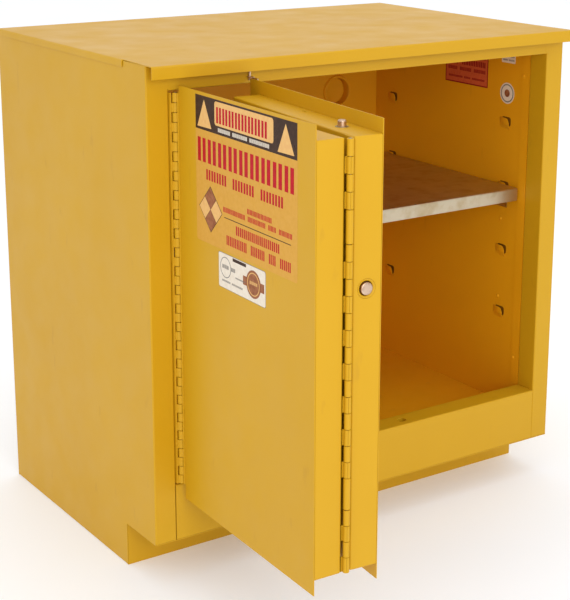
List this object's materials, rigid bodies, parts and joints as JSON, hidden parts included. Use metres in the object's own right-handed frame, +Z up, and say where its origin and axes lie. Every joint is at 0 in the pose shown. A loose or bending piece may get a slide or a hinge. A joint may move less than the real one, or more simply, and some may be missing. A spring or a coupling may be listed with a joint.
{
  "type": "flammable storage cabinet",
  "caption": "Under-counter double-walled steel safety cabinet with a bi-fold door that swings and folds open, a galvanized shelf, a leakproof sump and vents.",
  "frame": {"origin": "on the floor, under the middle of the assembly's footprint with the door folded open", "axes": "+X to the cabinet's right, +Y towards its back, +Z up"},
  "size_m": [0.889, 0.9998, 0.889],
  "materials": {
    "yellow_paint": "satin powder coat, safety yellow",
    "yellow_paint_inside": "satin powder coat, safety yellow, inside walls",
    "galvanized_steel": "galvanized sheet with faint spangle",
    "zinc_steel": "zinc-plated steel",
    "chrome": "polished",
    "brass": "plain brass",
    "vent_mesh": "woven wire flame screen",
    "label_film": "printed vinyl labels with plain bars and shapes"
  },
  "bodies": {
    "cabinet": {"top_cover": "yellow_paint", "side_panel_left": "yellow_paint", "side_panel_right": "yellow_paint", "back_panel": "yellow_paint", "bottom_pan": "yellow_paint", "toe_kick": "yellow_paint", "stile_left": "yellow_paint", "stile_right": "yellow_paint", "header": "yellow_paint", "sill_panel": "yellow_paint", "liner_left": "yellow_paint_inside", "liner_right": "yellow_paint_inside", "liner_back": "yellow_paint_inside", "liner_ceiling": "yellow_paint_inside", "sump_pan": "yellow_paint_inside", "shelf": "galvanized_steel", "shelf_clip_front_left": "galvanized_steel", "shelf_clip_back_left": "galvanized_steel", "shelf_clip_front_right": "galvanized_steel", "shelf_clip_back_right": "galvanized_steel", "vent_tube_upper": "yellow_paint_inside", "vent_screen_upper": "vent_mesh", "vent_plug_upper": "yellow_paint_inside", "vent_cap_upper": "yellow_paint", "vent_tube_lower": "yellow_paint_inside", "vent_screen_lower": "vent_mesh", "vent_plug_lower": "yellow_paint_inside", "vent_cap_lower": "yellow_paint", "grounding_screw": "brass", "grounding_washer": "brass", "jamb_hinge_frame_side": "yellow_paint", "jamb_hinge_pin": "zinc_steel"},
    "leaf_a": {"leaf_a_skin": "yellow_paint", "leaf_a_pan": "yellow_paint", "jamb_hinge_leaf_side": "yellow_paint", "fold_hinge_side_a": "yellow_paint", "fold_hinge_pin": "zinc_steel", "closing_spring_barrel_lower": "yellow_paint", "closing_spring_barrel_upper": "yellow_paint"},
    "leaf_b": {"leaf_b_skin": "yellow_paint", "leaf_b_pan": "yellow_paint", "fold_hinge_side_b": "yellow_paint", "bolt_sleeve_upper": "zinc_steel", "bolt_sleeve_lower": "zinc_steel", "button_sleeve": "zinc_steel", "latch_case": "zinc_steel", "handle_dish": "chrome", "paddle_pin": "zinc_steel", "guide_bracket": "zinc_steel", "guide_pin": "zinc_steel"},
    "bolt_upper": {"bolt_upper": "chrome"},
    "bolt_lower": {"bolt_lower": "chrome"},
    "trigger_button": {"trigger_button": "chrome"},
    "paddle_handle": {"paddle_handle": "chrome"},
    "lock_cylinder": {"lock_cylinder": "chrome"}
  },
  "joints": [
    {"name": "door_swing", "type": "hinge", "parent": "cabinet", "child": "leaf_a", "pos_m": [-0.3925, -0.08311, 0.513], "axis": [0, 0, 1], "range_deg": [0, 92]},
    {"name": "door_fold", "type": "hinge", "parent": "leaf_a", "child": "leaf_b", "pos_m": [-0.35083, -0.49452, 0.5075], "axis": [0, 0, 1], "range_deg": [-176.6, 0]},
    {"name": "bolt_upper_slide", "type": "slide", "parent": "leaf_b", "child": "bolt_upper", "axis": [0, 0, 1], "range_m": [0, 0.015]},
    {"name": "bolt_lower_slide", "type": "slide", "parent": "leaf_b", "child": "bolt_lower", "axis": [0, 0, -1], "range_m": [0, 0.015]},
    {"name": "button_press", "type": "slide", "parent": "leaf_b", "child": "trigger_button", "axis": [0.0958, 0.9954, 0], "range_m": [0, 0.008], "stiffness_N_per_m": 400},
    {"name": "paddle_pull", "type": "hinge", "parent": "leaf_b", "child": "paddle_handle", "pos_m": [-0.28916, -0.35479, 0.657], "axis": [-0.0958, -0.9954, 0], "range_deg": [0, 35], "stiffness_Nm_per_rad": 0.6},
    {"name": "lock_turn", "type": "hinge", "parent": "leaf_b", "child": "lock_cylinder", "pos_m": [-0.29513, -0.35421, 0.577], "axis": [-0.9954, 0.0958, 0], "range_deg": [0, 90]}
  ],
  "couplings": [
    {"joint": "door_fold", "follows": "door_swing", "ratio": -1.9185},
    {"joint": "bolt_lower_slide", "follows": "bolt_upper_slide", "ratio": 1}
  ]
}
